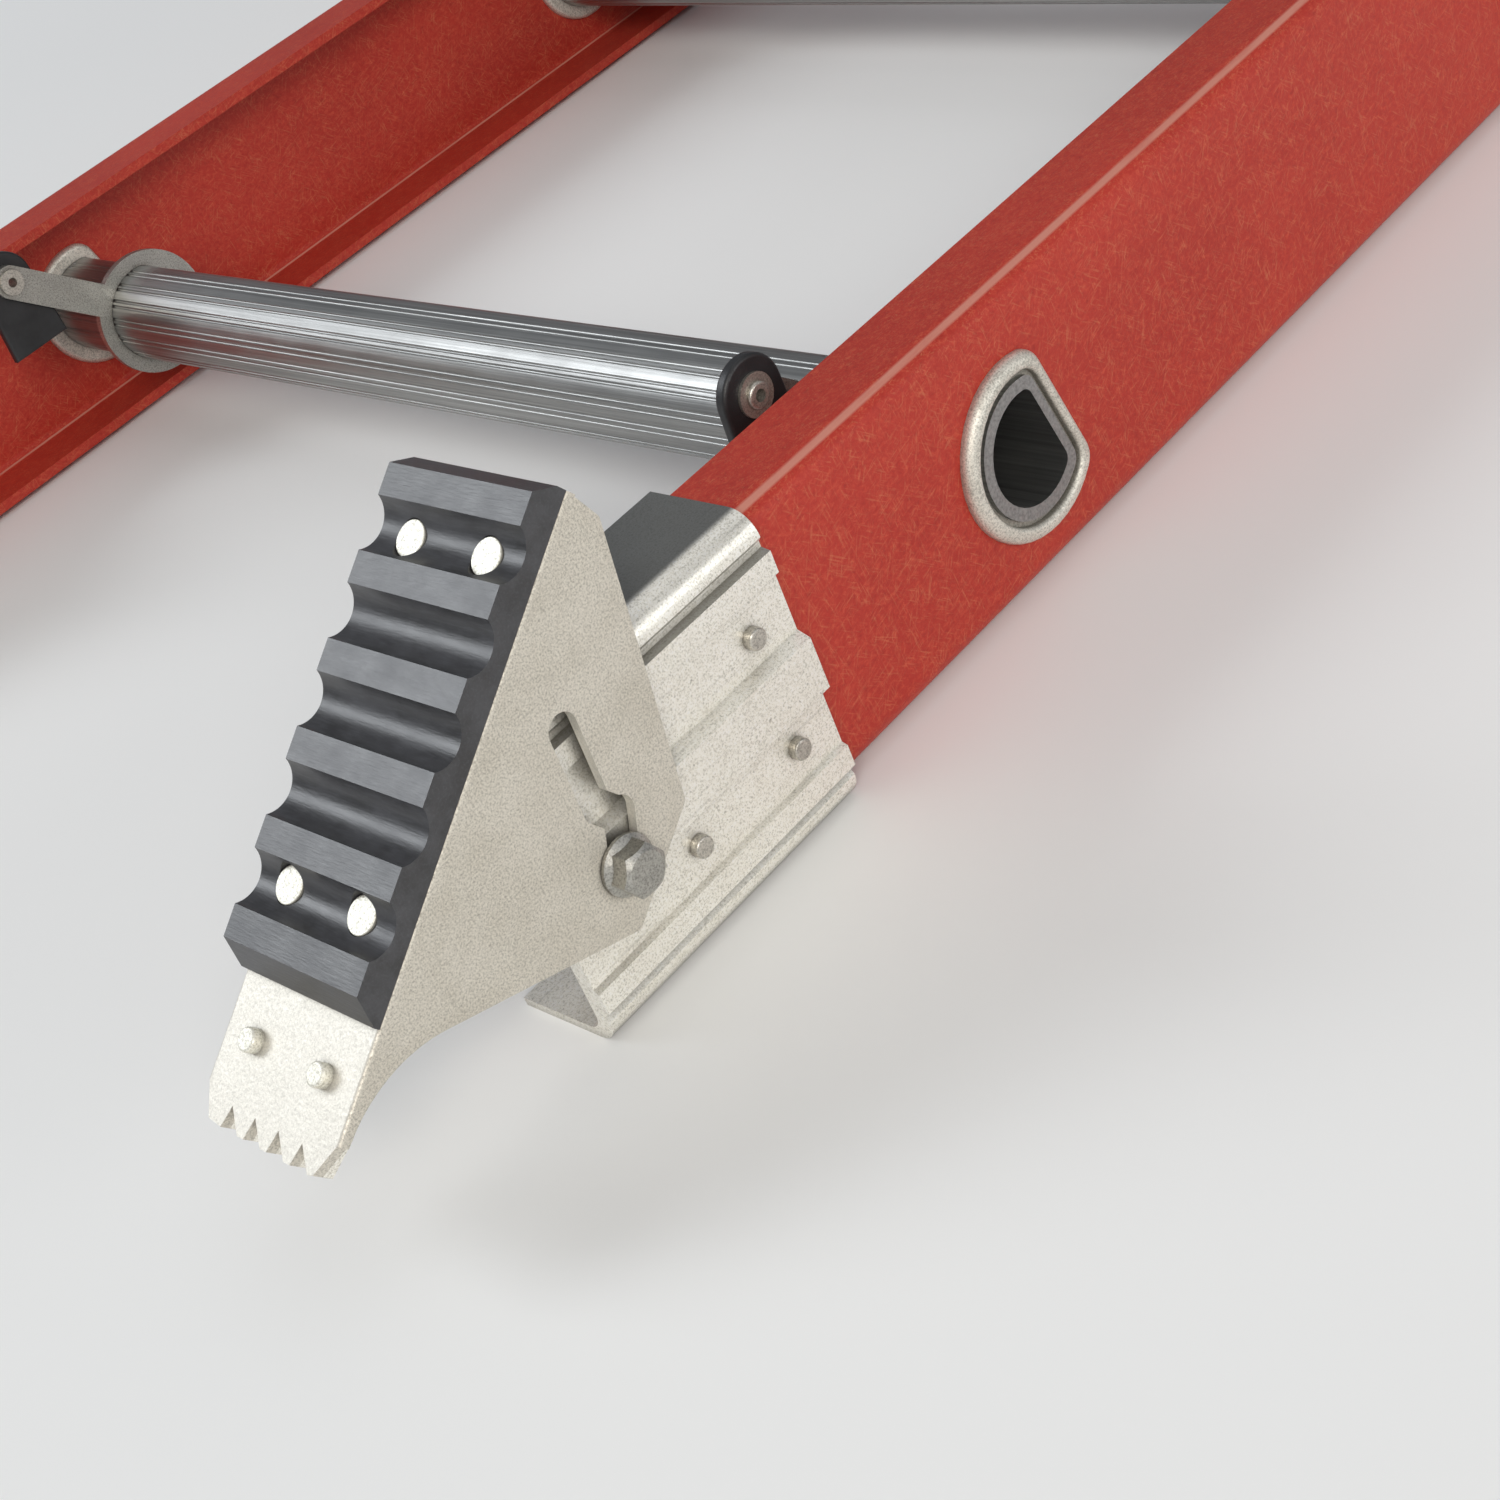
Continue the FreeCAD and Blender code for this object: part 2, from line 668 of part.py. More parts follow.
def stop_strap():
    """A flat bar that is pressed on the bottom rung and carries the bumper."""
    y0 = STOP_Y + STOP_T
    y1 = y0 + STRAP_T
    bar = stadium((STOP_X, STOP_Z), (RUNG_FIRST, RUNG_Z), STRAP_R, y0, y1)
    strap = fuse([bar, cyl_y(RUNG_FIRST, RUNG_Z, y0, y1, STRAP_RING_R)])
    strap = strap.cut(rung_hole(RUNG_FIRST, RUNG_Z, y0 - 1, y1 + 1))
    return strap.cut(cyl_y(STOP_X, STOP_Z, y0 - 1, y1 + 1, 3.4))


def stop_rivet():
    """The tubular rivet that holds the bumper, with its washer."""
    back = STOP_Y + STOP_T + STRAP_T
    washer = cyl_y(STOP_X, STOP_Z, STOP_Y - 1.0, STOP_Y, 6.5)
    collar = cyl_y(STOP_X, STOP_Z, STOP_Y - 2.4, STOP_Y - 1.0, 4.0)
    rim = [e for e in collar.Edges if abs(e.BoundBox.YMax - (STOP_Y - 2.4)) < 1e-6]
    collar = collar.makeFillet(0.9, rim)
    body = cyl_y(STOP_X, STOP_Z, STOP_Y, back, 3.4)
    tail = cyl_y(STOP_X, STOP_Z, back, back + 1.4, 5.0)
    tube = fuse([washer, collar, body, tail])
    return tube.cut(cyl_y(STOP_X, STOP_Z, STOP_Y - 5, back + 5, 1.9))


# ---- sliding guides ----
GUIDE_T = 3.0
GUIDE_X = BASE_TOP - 66
GUIDE_LENGTH = 48.0
GUIDE_FOOT_Y = 9.0
GUIDE_GAP = 0.8
GUIDE_LIP = 9.0
GUIDE_LIP_GAP = 2.2
GUIDE_RIVET_DX = 10.0
GUIDE_RIVET_Y = 14.0


def base_guide():
    """The hook at the base's top that holds down the fly rail's back flange."""
    flange_under = RAIL_Z + RAIL_DEPTH - RAIL_FLANGE_T
    fly_flange_top = FLY_Z + RAIL_FLANGE_T
    inner = FLY_INSET + RAIL_FLANGE + GUIDE_GAP
    outer = inner + GUIDE_T
    x1 = GUIDE_X + GUIDE_LENGTH
    lip_z = fly_flange_top + GUIDE_LIP_GAP
    foot = box(GUIDE_X, x1, GUIDE_FOOT_Y, outer, flange_under - GUIDE_T, flange_under)
    wall = box(GUIDE_X, x1, inner, outer, flange_under - GUIDE_T, lip_z + GUIDE_T)
    lip = box(GUIDE_X, x1, inner - GUIDE_LIP, outer, lip_z, lip_z + GUIDE_T)
    return fuse([foot, wall, lip])


def guide_rivets():
    flange_under = RAIL_Z + RAIL_DEPTH - RAIL_FLANGE_T
    top = RAIL_Z + RAIL_DEPTH
    low = flange_under - GUIDE_T
    rivets = []
    for x in (GUIDE_X + GUIDE_RIVET_DX, GUIDE_X + GUIDE_LENGTH - GUIDE_RIVET_DX):
        head = cyl_z(x, GUIDE_RIVET_Y, top, top + FLAT_HEAD_T, FLAT_HEAD_R)
        shank = cyl_z(x, GUIDE_RIVET_Y, low, top, RIVET_R)
        tail = cyl_z(x, GUIDE_RIVET_Y, low - TAIL_T, low, TAIL_R)
        rivets.append(fuse([head, shank, tail]))
    return rivets


HOOK_REACH = 18.0
HOOK_T = 4.0
HOOK_UNDER = 3.0
HOOK_LIP_Y = 14.0
HOOK_SHELF_DZ = 1.0
HOOK_GAP = 1.0
TAB_T = 3.4
TAB_LENGTH = 46.0
TAB_DZ = ((8.0, 15.0), (69.5, 81.0))
TAB_RIVET_DX = (10.0, 38.0)
TAB_RIVET_DZ = 75.5


def fly_foot():
    """The end fitting of a fly rail, with the hook that runs under the base's front flange."""
    web_in = FLY_INSET + RAIL_WEB_T
    x1 = FLY_X - HOOK_T
    x0 = x1 - HOOK_REACH
    pieces = [box(x1, FLY_X, FLY_INSET, FLY_INSET + RAIL_FLANGE, FLY_Z, FLY_Z + RAIL_DEPTH)]
    for low, high in TAB_DZ:
        pieces.append(box(x1, FLY_X + TAB_LENGTH, web_in, web_in + TAB_T, FLY_Z + low, FLY_Z + high))
    drop_y = RAIL_FLANGE + HOOK_GAP
    far_y = drop_y + HOOK_T
    shelf_z = FLY_Z + HOOK_SHELF_DZ
    lip_top = RAIL_Z + RAIL_DEPTH - RAIL_FLANGE_T - HOOK_UNDER
    pieces.append(box(x0, x1, FLY_INSET, far_y, shelf_z, shelf_z + HOOK_T))
    pieces.append(box(x0, x1, drop_y, far_y, lip_top - HOOK_T, shelf_z + HOOK_T))
    pieces.append(box(x0, x1, HOOK_LIP_Y, far_y, lip_top - HOOK_T, lip_top))
    return fuse(pieces)


def web_rivet(x, z, web_out, through):
    """A rivet through a rail's web and what lies inside it."""
    back = web_out + through
    head = cyl_y(x, z, web_out - FLAT_HEAD_T, web_out, FLAT_HEAD_R)
    shank = cyl_y(x, z, web_out, back, RIVET_R)
    tail = cyl_y(x, z, back, back + TAIL_T, TAIL_R)
    return fuse([head, shank, tail])


# ---- rung locks ----
LOCK_PIVOT_DX = 75.0
LOCK_PIVOT_Z = 79.5
LOCK_TURN = 38.0
LOCK_Y = 55.0
LOCK_T = 10.0
LOCK_PIN_R = 4.0
LOCK_BOSS_R = 11.5
LOCK_REACH = 68.9
LOCK_NOSE = (196.0, 206.0, 216.0)
CHEEK_T = 2.5
LOCK_GAP = 0.6
CHEEK_R = 12.0
SHELF_DX = (48.0, 96.0)
SHELF_DZ = 18.0
HOUSING_T = 3.0
HOUSING_HEIGHT = 46.0
HOUSING_RIVET_DX = (57.0, 87.0)
HOUSING_RIVET_DZ = 48.0
PIN_HEAD_R = 6.5
PIN_HEAD_T = 1.8
PIN_END = 9.0
CLIP_R = 6.0
CLIP_T = 1.2
LATCH_PIVOT = (30.0, 12.0)
LATCH_LENGTH = 24.0
LATCH_Y = 65.6
LATCH_T = 2.6
LATCH_GAP = 0.3
LATCH_TURN = 130.0
LATCH_HALF = 4.0
LATCH_EYE_R = 6.0
STUD_R = 2.6
STUD_CAP_R = 4.4
STUD_CAP_T = 1.4
SPRING_WIRE_R = 0.8
SPRING_PITCH = 1.8
SPRING_TURNS = 3
SPRING_TAIL = 14.0


def lock_hook():
    """The hook, drawn where it props on a base rung and then swung clear of the rungs."""
    rise = LOCK_PIVOT_Z - RUNG_Z
    turns = [math.radians(angle) for angle in LOCK_NOSE]
    nose = [(LOCK_PIVOT_DX + LOCK_REACH * math.cos(a), rise + LOCK_REACH * math.sin(a)) for a in turns]
    steps = [
        nose[0],
        ("arc", nose[1], nose[2]),
        ("line", (35, -8)),
        ("line", (LOCK_PIVOT_DX + 4, rise - LOCK_BOSS_R + 0.8)),
        ("line", (LOCK_PIVOT_DX - 4, rise + LOCK_BOSS_R - 0.8)),
        ("line", (16, 29)),
    ]
    arm = outline_face(steps, in_side(LOCK_Y)).extrude(V(0, LOCK_T, 0))
    boss = cyl_y(LOCK_PIVOT_DX, rise, LOCK_Y, LOCK_Y + LOCK_T, LOCK_BOSS_R)
    hook = fuse([arm, boss])
    hook = hook.cut(cyl_y(LOCK_PIVOT_DX, rise, LOCK_Y - 1, LOCK_Y + LOCK_T + 1, LOCK_PIN_R + RUNNING_FIT))
    stud_end = LATCH_Y + LATCH_T + LATCH_GAP
    stud = cyl_y(LATCH_PIVOT[0], LATCH_PIVOT[1], LOCK_Y + LOCK_T, stud_end, STUD_R)
    cap = cyl_y(LATCH_PIVOT[0], LATCH_PIVOT[1], stud_end, stud_end + STUD_CAP_T, STUD_CAP_R)
    return fuse([hook, stud, cap])


def lock_latch():
    """The small finger on the hook's nose that rides over the rungs."""
    turn = math.radians(LATCH_TURN)
    x, z = LATCH_PIVOT
    tip = (x + LATCH_LENGTH * math.cos(turn), z + LATCH_LENGTH * math.sin(turn))
    y1 = LATCH_Y + LATCH_T
    finger = stadium(LATCH_PIVOT, tip, LATCH_HALF, LATCH_Y, y1)
    eye = cyl_y(x, z, LATCH_Y, y1, LATCH_EYE_R)
    return fuse([finger, eye]).cut(cyl_y(x, z, LATCH_Y - 1, y1 + 1, STUD_R + RUNNING_FIT))


def swung_clear(shape):
    placed = shape.copy()
    placed.rotate(V(LOCK_PIVOT_DX, 0, LOCK_PIVOT_Z - RUNG_Z), V(0, 1, 0), LOCK_TURN)
    placed.translate(V(FLY_RUNG_FIRST, 0, RUNG_Z))
    return placed


def lock_housing():
    """A bracket on the fly's web that carries the hook between two cheeks."""
    x0 = FLY_RUNG_FIRST + SHELF_DX[0]
    x1 = FLY_RUNG_FIRST + SHELF_DX[1]
    web_in = FLY_INSET + RAIL_WEB_T
    shelf_z = FLY_Z + SHELF_DZ
    far = LOCK_Y + LOCK_T + LOCK_GAP
    plate = box(x0, x1, web_in, web_in + HOUSING_T, shelf_z, shelf_z + HOUSING_HEIGHT)
    shelf = box(x0, x1, web_in, far + CHEEK_T, shelf_z, shelf_z + HOUSING_T)
    x = FLY_RUNG_FIRST + LOCK_PIVOT_DX
    cheeks = []
    for y in (LOCK_Y - LOCK_GAP - CHEEK_T, far):
        cheeks.append(box(x - CHEEK_R, x + CHEEK_R, y, y + CHEEK_T, LOCK_PIVOT_Z, shelf_z + 1))
        cheeks.append(cyl_y(x, LOCK_PIVOT_Z, y, y + CHEEK_T, CHEEK_R))
    body = fuse([plate, shelf] + cheeks)
    return body.cut(cyl_y(x, LOCK_PIVOT_Z, LOCK_Y - PIN_END, far + PIN_END, LOCK_PIN_R))


def lock_pin():
    x = FLY_RUNG_FIRST + LOCK_PIVOT_DX
    low = LOCK_Y - LOCK_GAP - CHEEK_T
    end = LOCK_Y + LOCK_T + LOCK_GAP + CHEEK_T + PIN_END
    head = cyl_y(x, LOCK_PIVOT_Z, low - PIN_HEAD_T, low, PIN_HEAD_R)
    shank = cyl_y(x, LOCK_PIVOT_Z, low, end, LOCK_PIN_R)
    clip = cyl_y(x, LOCK_PIVOT_Z, end, end + CLIP_T, CLIP_R)
    return fuse([head, shank, clip])


def lock_spring():
    """The torsion spring on the outer end of the hook's pin."""
    x = FLY_RUNG_FIRST + LOCK_PIVOT_DX
    start = LOCK_Y + LOCK_T + LOCK_GAP + CHEEK_T + 1.0
    coil_r = LOCK_PIN_R + SPRING_WIRE_R + 0.5
    path = Part.Wire(Part.makeHelix(SPRING_PITCH, SPRING_PITCH * SPRING_TURNS, coil_r).Edges)
    ring = Part.Wire(Part.makeCircle(SPRING_WIRE_R, V(coil_r, 0, 0), V(0, 1, 0)))
    coil = path.makePipeShell([ring], True, True)
    coil.rotate(V(0, 0, 0), V(1, 0, 0), -90)
    coil.translate(V(x, start, LOCK_PIVOT_Z))
    leg = cyl_z(x + coil_r, start, LOCK_PIVOT_Z, FLY_Z + SHELF_DZ - 0.2, SPRING_WIRE_R)
    end = start + SPRING_PITCH * SPRING_TURNS
    tail = cyl_z(x + coil_r, end, LOCK_PIVOT_Z - SPRING_TAIL, LOCK_PIVOT_Z, SPRING_WIRE_R)
    return fuse([coil, leg, tail])


# ---- pulley ----
PULLEY_DX = 45.0
PULLEY_Z = RUNG_Z + 17.0
PULLEY_R = 20.0
PULLEY_HALF = 7.0
PULLEY_CHEEK_T = 2.5
PULLEY_AXLE_R = 4.0
PULLEY_GAP = 0.8
PULLEY_RIM_T = 1.6
PULLEY_GROOVE_DEPTH = 6.5
PULLEY_ARM_R = 13.0
PULLEY_RING_R = 25.0
BRIDGE_DX = (19.0, 23.0)
BRIDGE_DZ = (-11.0, -7.0)
AXLE_HEAD_R = 6.5
AXLE_HEAD_T = 2.0


def pulley_frame():
    """Two cheeks threaded on the base's top rung, joined by a bridge."""
    x = RUNG_FIRST + RUNG_PITCH * (RUNG_COUNT - 1)
    inner = PULLEY_HALF + PULLEY_GAP
    cheeks = []
    for y in (-inner - PULLEY_CHEEK_T, inner):
        y1 = y + PULLEY_CHEEK_T
        arm = stadium((x + 4, RUNG_Z), (x + PULLEY_DX, PULLEY_Z), PULLEY_ARM_R, y, y1)
        ring = cyl_y(x, RUNG_Z, y, y1, PULLEY_RING_R)
        cheeks.append(fuse([arm, ring]).cut(rung_hole(x, RUNG_Z, y - 1, y1 + 1)))
    reach = inner + PULLEY_CHEEK_T / 2
    low, high = BRIDGE_DZ
    bridge = box(x + BRIDGE_DX[0], x + BRIDGE_DX[1], -reach, reach, RUNG_Z + low, RUNG_Z + high)
    bore = cyl_y(x + PULLEY_DX, PULLEY_Z, -2 * inner, 2 * inner, PULLEY_AXLE_R)
    return fuse(cheeks + [bridge]).cut(bore)


def pulley_axle():
    x = RUNG_FIRST + RUNG_PITCH * (RUNG_COUNT - 1) + PULLEY_DX
    outer = PULLEY_HALF + PULLEY_GAP + PULLEY_CHEEK_T
    shank = cyl_y(x, PULLEY_Z, -outer, outer, PULLEY_AXLE_R)
    near = cyl_y(x, PULLEY_Z, -outer - AXLE_HEAD_T, -outer, AXLE_HEAD_R)
    far = cyl_y(x, PULLEY_Z, outer, outer + AXLE_HEAD_T, AXLE_HEAD_R)
    return fuse([shank, near, far])


def pulley_wheel():
    """A grooved wheel, turned about its axle."""
    x = RUNG_FIRST + RUNG_PITCH * (RUNG_COUNT - 1) + PULLEY_DX
    bore = PULLEY_AXLE_R + RUNNING_FIT
    groove = PULLEY_R - PULLEY_GROOVE_DEPTH
    steps = [
        (bore, -PULLEY_HALF),
        ("line", (PULLEY_R, -PULLEY_HALF)),
        ("line", (PULLEY_R, -PULLEY_HALF + PULLEY_RIM_T)),
        ("arc", (groove, 0), (PULLEY_R, PULLEY_HALF - PULLEY_RIM_T)),
        ("line", (PULLEY_R, PULLEY_HALF)),
        ("line", (bore, PULLEY_HALF)),
    ]
    face = outline_face(steps, lambda r, y: V(x + r, y, PULLEY_Z))
    return face.revolve(V(x, 0, PULLEY_Z), V(0, 1, 0), 360)


# ---- the whole ladder ----
def save(name, shape):
    solids = shape.Solids
    out = solids[0] if len(solids) == 1 else Part.makeCompound(solids)
    out.exportStep("parts/" + name + ".step")


def save_pair(name, shape):
    save(name + "_right", to_right(shape))
    save(name + "_left", to_left(shape))


def rung_places(first):
    return [first + RUNG_PITCH * i for i in range(RUNG_COUNT)]


def save_rungs(prefix, first, z, half_width):
    pattern = rung(half_width)
    for i, x in enumerate(rung_places(first)):
        placed = pattern.copy()
        placed.translate(V(x, 0, z))
        save(prefix + "_rung_" + str(i + 1), on_centre(placed))


def save_base():
    places = rung_places(RUNG_FIRST)
    rivets = bracket_rivets()
    guides = guide_rivets()
    bolt = pivot_bolt()
    bolt.translate(V(PIVOT_X, 0, CENTRE_Z))
    nut = pivot_nut()
    nut.translate(V(PIVOT_X, 0, CENTRE_Z))
    side = rail(RAIL_START, BASE_TOP, 0, RAIL_Z, places, RUNG_Z)
    save_pair("base_rail", side.cut(group(rivets + guides)))
    save_rungs("base", RUNG_FIRST, RUNG_Z, HALF)
    save("base_rung_collars", both_sides([c for x in places for c in collar_pair(x, RUNG_Z, 0)]))
    bracket = bracket_face().extrude(V(BRACKET_LENGTH, 0, 0))
    save_pair("foot_bracket", bracket.cut(group(rivets + [bolt])))
    save("foot_bracket_rivets", both_sides(rivets))
    save("foot_pivot_bolts", both_sides([bolt]))
    save("foot_pivot_nuts", both_sides([nut]))
    save("fly_stop_bumpers", both_sides([stop_bumper()]))
    save("fly_stop_straps", both_sides([stop_strap()]))
    save("fly_stop_rivets", both_sides([stop_rivet()]))
    save_pair("base_guide", base_guide().cut(group(guides)))
    save("base_guide_rivets", both_sides(guides))
    save("base_end_caps", both_sides([end_cap(BASE_TOP, 0, RAIL_Z, RAIL_Z)]))
    save("pulley_frame", on_centre(pulley_frame()))
    save("pulley_axle", on_centre(pulley_axle()))
    save("pulley_wheel", on_centre(pulley_wheel()))


def save_fly():
    places = rung_places(FLY_RUNG_FIRST)
    rivets = []
    for dx in TAB_RIVET_DX:
        rivets.append(web_rivet(FLY_X + dx, FLY_Z + TAB_RIVET_DZ, FLY_INSET, RAIL_WEB_T + TAB_T))
    for dx in HOUSING_RIVET_DX:
        x = FLY_RUNG_FIRST + dx
        rivets.append(web_rivet(x, FLY_Z + HOUSING_RIVET_DZ, FLY_INSET, RAIL_WEB_T + HOUSING_T))
    holes = group(rivets)
    side = rail(FLY_X, FLY_TOP, FLY_INSET, FLY_Z, places, FLY_RUNG_Z)
    save_pair("fly_rail", side.cut(holes))
    save_rungs("fly", FLY_RUNG_FIRST, FLY_RUNG_Z, HALF - FLY_INSET)
    save("fly_rung_collars", both_sides([c for x in places for c in collar_pair(x, FLY_RUNG_Z, FLY_INSET)]))
    save_pair("fly_foot", fly_foot().cut(holes))
    save("fly_web_rivets", both_sides(rivets))
    save("fly_end_caps", both_sides([end_cap(FLY_TOP, FLY_INSET, FLY_Z, 0)]))
    save_pair("lock_housing", lock_housing().cut(holes))
    save("lock_pins", both_sides([lock_pin()]))
    save("lock_springs", both_sides([lock_spring()]))
    save_pair("lock_hook", swung_clear(lock_hook()))
    save_pair("lock_latch", swung_clear(lock_latch()))


def save_feet():
    rivets = pad_rivets() + spur_rivets()
    frame = shoe_frame().cut(group(rivets))
    save_pair("shoe_frame", to_foot(frame))
    save_pair("tread_pad", to_foot(tread_pad()))
    save_pair("spur_plate", to_foot(spur_plate().cut(group(spur_rivets()))))
    save_pair("shoe_rivets", to_foot(group(rivets)))
    save_pair("shoe_spacer", to_foot(spacer()))


os.makedirs("parts", exist_ok=True)
save_base()
save_fly()
save_feet()
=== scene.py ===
import json

import bpy
from mathutils import Matrix, Vector


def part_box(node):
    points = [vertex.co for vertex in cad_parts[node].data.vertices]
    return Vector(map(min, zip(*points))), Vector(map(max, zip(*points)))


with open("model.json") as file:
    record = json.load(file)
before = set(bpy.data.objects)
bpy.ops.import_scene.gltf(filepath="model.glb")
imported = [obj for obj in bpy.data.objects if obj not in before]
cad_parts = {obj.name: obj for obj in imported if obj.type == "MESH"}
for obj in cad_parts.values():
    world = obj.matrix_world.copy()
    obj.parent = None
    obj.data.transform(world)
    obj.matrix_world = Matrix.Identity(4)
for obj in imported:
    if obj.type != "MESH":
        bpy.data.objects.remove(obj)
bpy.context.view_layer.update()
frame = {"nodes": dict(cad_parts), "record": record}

# ---- places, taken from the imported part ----
BRACKET_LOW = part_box("foot_bracket_right")[0]
RAIL_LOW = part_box("base_rail_right")[0]
BACK_Z = BRACKET_LOW.z
MM_PER_M = 1000


def from_foot(x, y, z):
    """A point given in mm from the right foot bracket's lower end, the rail's outer face and the back."""
    return Vector((BRACKET_LOW.x + x / MM_PER_M, RAIL_LOW.y + y / MM_PER_M, BACK_Z + z / MM_PER_M))


# ---- camera: the place goes through from_foot, and the lens and the sensor are in mm ----
CAMERA_AT = (-219.6, -428.8, 392.3)
CAMERA_FORWARD = Vector((0.4671, 0.6794, -0.5658))
CAMERA_UP = Vector((0.619, 0.2057, 0.758))
LENS = 58.39
SENSOR = 36.0
CLIP_NEAR = 0.01
CLIP_FAR = 50.0


def make_camera():
    data = bpy.data.cameras.new("camera")
    data.lens = LENS
    data.sensor_width = SENSOR
    data.clip_start = CLIP_NEAR
    data.clip_end = CLIP_FAR
    camera = bpy.data.objects.new("camera", data)
    bpy.context.scene.collection.objects.link(camera)
    forward = CAMERA_FORWARD.normalized()
    right = forward.cross(CAMERA_UP).normalized()
    up = right.cross(forward)
    turn = Matrix((right, up, -forward)).transposed()
    camera.matrix_world = Matrix.Translation(from_foot(*CAMERA_AT)) @ turn.to_4x4()
    bpy.context.scene.camera = camera


# ---- node helpers ----
MIX_FIRST = 6
MIX_SECOND = 7
MIX_RESULT = 2
CORNER_SAMPLES = 6
CORNER_SPAN = (0.25, 0.85)
CORNER_MOST = 0.8


class Paint:
    """A material's node tree, with short calls for the nodes that repeat."""

    def __init__(self, name):
        self.material = bpy.data.materials.new(name)
        self.material.use_nodes = True
        self.tree = self.material.node_tree
        self.shader = self.tree.nodes["Principled BSDF"]
        self.coords = self.tree.nodes.new("ShaderNodeTexCoord").outputs["Object"]

    def node(self, kind, **values):
        made = self.tree.nodes.new(kind)
        for key, value in values.items():
            setattr(made, key, value)
        return made

    def link(self, source, target):
        self.tree.links.new(source, target)

    def put(self, socket, value):
        """Gives an input another node's socket, a number or a colour."""
        if isinstance(value, bpy.types.NodeSocket):
            self.link(value, socket)
        elif isinstance(value, tuple):
            socket.default_value = (*value, 1.0)
        else:
            socket.default_value = value

    def set(self, **values):
        """Sets uniform values on the shader."""
        for key, value in values.items():
            self.put(self.shader.inputs[key.replace("_", " ")], value)

    def scaled(self, scale, turn):
        """Object coordinates, turned and then stretched by a vector."""
        turned = self.node("ShaderNodeMapping")
        turned.inputs["Rotation"].default_value = turn
        self.link(self.coords, turned.inputs["Vector"])
        mapping = self.node("ShaderNodeMapping")
        mapping.inputs["Scale"].default_value = scale
        self.link(turned.outputs["Vector"], mapping.inputs["Vector"])
        return mapping.outputs["Vector"]

    def noise(self, scale, detail=3.0, rough=0.55, stretch=(1, 1, 1), distort=0.0, turn=(0, 0, 0)):
        """Noise whose grains are about 1 / scale m wide, longer on an axis where the stretch is under 1."""
        made = self.node("ShaderNodeTexNoise")
        made.inputs["Scale"].default_value = scale
        made.inputs["Detail"].default_value = detail
        made.inputs["Roughness"].default_value = rough
        made.inputs["Distortion"].default_value = distort
        self.link(self.scaled(stretch, turn), made.inputs["Vector"])
        return made.outputs["Fac"]

    def ramp(self, source, low, dark, high, light):
        """The dark colour up to low, the light one from high, and a blend between."""
        made = self.node("ShaderNodeValToRGB")
        for point, place, colour in zip(made.color_ramp.elements, (low, high), (dark, light)):
            point.position = place
            point.color = (*colour, 1.0)
        self.link(source, made.inputs["Fac"])
        return made.outputs["Color"]

    def grey(self, source, span, result=(0.0, 1.0)):
        """The source taken from one span of values to another, clamped."""
        made = self.node("ShaderNodeMapRange")
        for name, value in zip(("From Min", "From Max", "To Min", "To Max"), (*span, *result)):
            made.inputs[name].default_value = value
        self.link(source, made.inputs["Value"])
        return made.outputs["Result"]

    def mix(self, factor, first, second):
        """The first colour at factor 0, the second at 1."""
        made = self.node("ShaderNodeMix", data_type="RGBA", blend_type="MIX")
        self.put(made.inputs["Factor"], factor)
        self.put(made.inputs[MIX_FIRST], first)
        self.put(made.inputs[MIX_SECOND], second)
        return made.outputs[MIX_RESULT]

    def maths(self, operation, *values):
        made = self.node("ShaderNodeMath", operation=operation)
        for socket, value in zip(made.inputs, values):
            self.put(socket, value)
        return made.outputs["Value"]

    def axis(self, name, source=None):
        """A component of a vector, or of the object coordinates."""
        made = self.node("ShaderNodeSeparateXYZ")
        self.link(source or self.coords, made.inputs["Vector"])
        return made.outputs[name]

    def normal_axis(self, name):
        """A component of the surface's own direction, in the object's axes."""
        return self.axis(name, self.node("ShaderNodeTexCoord").outputs["Normal"])

    def bump(self, height, distance, strength, after=None):
        made = self.node("ShaderNodeBump")
        made.inputs["Distance"].default_value = distance
        made.inputs["Strength"].default_value = strength
        self.link(height, made.inputs["Height"])
        if after is not None:
            self.link(after, made.inputs["Normal"])
        return made.outputs["Normal"]

    def corners(self, reach):
        """How far a point lies in an inner corner, from 0 in the open to the most where it is shut in: the
        weight of the painted shade.
        """
        made = self.node("ShaderNodeAmbientOcclusion", samples=CORNER_SAMPLES)
        made.inputs["Distance"].default_value = reach
        return self.grey(made.outputs["AO"], CORNER_SPAN, (CORNER_MOST, 0.0))

    def finish(self, colour, roughness, normal):
        self.link(colour, self.shader.inputs["Base Color"])
        self.link(roughness, self.shader.inputs["Roughness"])
        self.link(normal, self.shader.inputs["Normal"])
        return self.material


# ---- fibreglass ----
RESIN_DARK = (0.38, 0.028, 0.018)
RESIN_LIGHT = (0.47, 0.038, 0.024)
BLOTCH_LIGHT = (0.58, 0.085, 0.045)
BLOTCH_DARK = (0.27, 0.018, 0.012)
FIBRE_COLOUR = (0.60, 0.19, 0.09)
FIBRE_TURNS = (0.3, 1.0, 1.7, 2.4)
FIBRE_SEEN = 0.30
# Painted highlight colour for the rails' rounded corner.
PAINTED_HIGHLIGHT_RESIN = (0.58, 0.24, 0.18)


def hairs(p, turn):
    """Thin short strands lying one way in the web's plane, broken up into patches."""
    strand = p.noise(1900.0, detail=1.0, rough=0.5, stretch=(0.09, 1, 1), distort=0.5, turn=(0.0, turn, 0.0))
    patch = p.noise(150.0, detail=3.0, rough=0.6, turn=(0.0, turn, 0.0))
    return p.maths("MULTIPLY", p.grey(strand, (0.58, 0.70), (0.0, FIBRE_SEEN)), p.grey(patch, (0.40, 0.60)))


